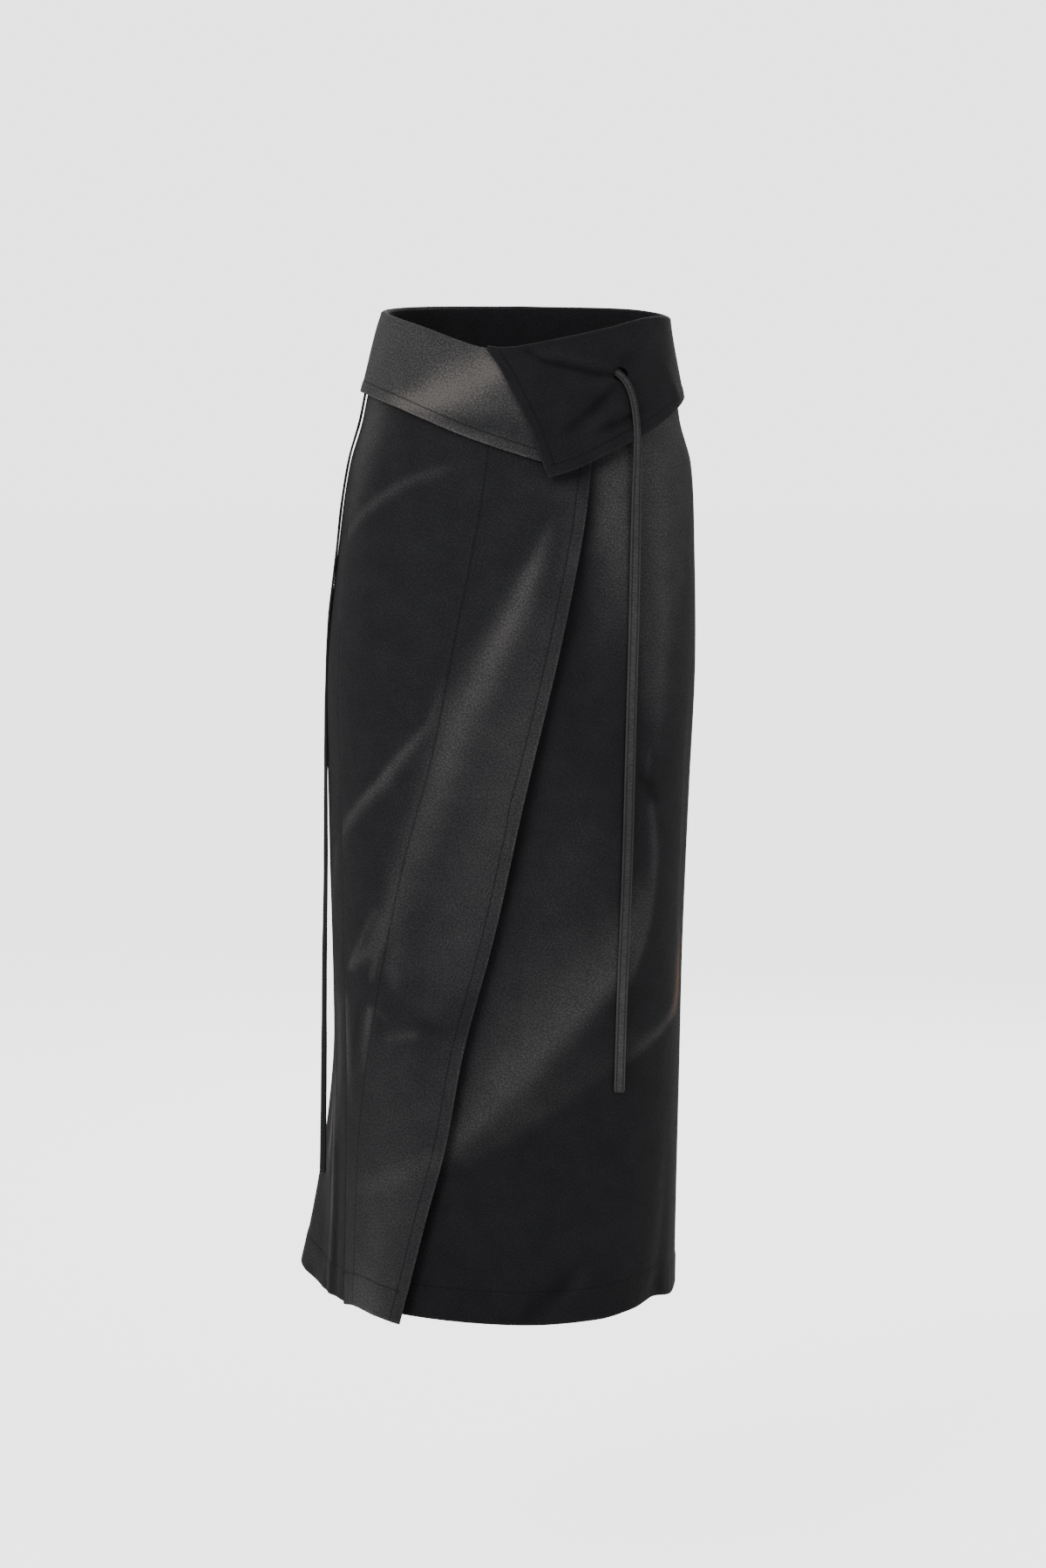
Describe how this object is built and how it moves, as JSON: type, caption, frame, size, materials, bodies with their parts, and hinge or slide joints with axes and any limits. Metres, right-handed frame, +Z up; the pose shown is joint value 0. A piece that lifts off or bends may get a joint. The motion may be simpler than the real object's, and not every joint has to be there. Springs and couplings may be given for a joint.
{
  "type": "wrap skirt",
  "caption": "Long wrap skirt with a fold-over top, a pointed black flap and narrow hanging ties, in the hollow form it has when worn.",
  "frame": {"origin": "the middle of the waist opening, level with the lowest point of the front fold line", "axes": "+Z up along the wearer, the front faces -Y, +X is on the right when the skirt is seen from the front"},
  "size_m": [0.3695, 0.2687, 0.9226],
  "materials": {
    "faded_twill": "soft cotton twill, washed and faded charcoal",
    "black_twill": "soft cotton twill, unfaded black",
    "tie_twill": "cotton twill strip, topstitched along both edges"
  },
  "bodies": {
    "root": {"over_side_front": "faded_twill", "over_centre_front": "faded_twill", "under_front": "faded_twill", "back": "faded_twill", "fold_left": "faded_twill", "fold_back": "faded_twill", "fold_right": "black_twill", "tie_right": "tie_twill", "tie_left": "tie_twill"}
  },
  "joints": []
}
